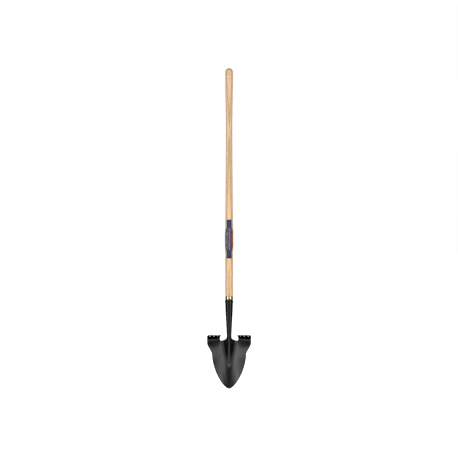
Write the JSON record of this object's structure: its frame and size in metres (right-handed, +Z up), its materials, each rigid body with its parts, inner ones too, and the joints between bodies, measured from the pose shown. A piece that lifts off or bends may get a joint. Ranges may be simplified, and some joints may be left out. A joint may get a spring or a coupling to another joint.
{
  "type": "round point shovel",
  "caption": "Long-handled round point shovel: straight ash handle riveted into a tubular steel socket, with a hollow pointed blade, raised centre ridge and forward-turned foot steps.",
  "frame": {"origin": "middle of the outer box seen from below, at the height of the blade's tip; the handle's axis is parallel to Z and passes through x = 0, y = +0.0198 m", "axes": "+Z up along the handle from blade to knob, -Y the hollow face of the blade (front), X across the blade from step to step"},
  "size_m": [0.202, 0.0782, 1.4632],
  "materials": {
    "ash_wood": "clear lacquered ash, fine lengthwise grain",
    "black_paint": "satin black enamel over pressed steel",
    "bright_ring": "polished yellow metal",
    "rivet_steel": "bare steel, hammered head",
    "label_film": "printed film, semi-gloss"
  },
  "bodies": {
    "root": {"handle": "ash_wood", "label": "label_film", "ring": "bright_ring", "socket": "black_paint", "rivet": "rivet_steel", "blade": "black_paint"}
  },
  "joints": []
}
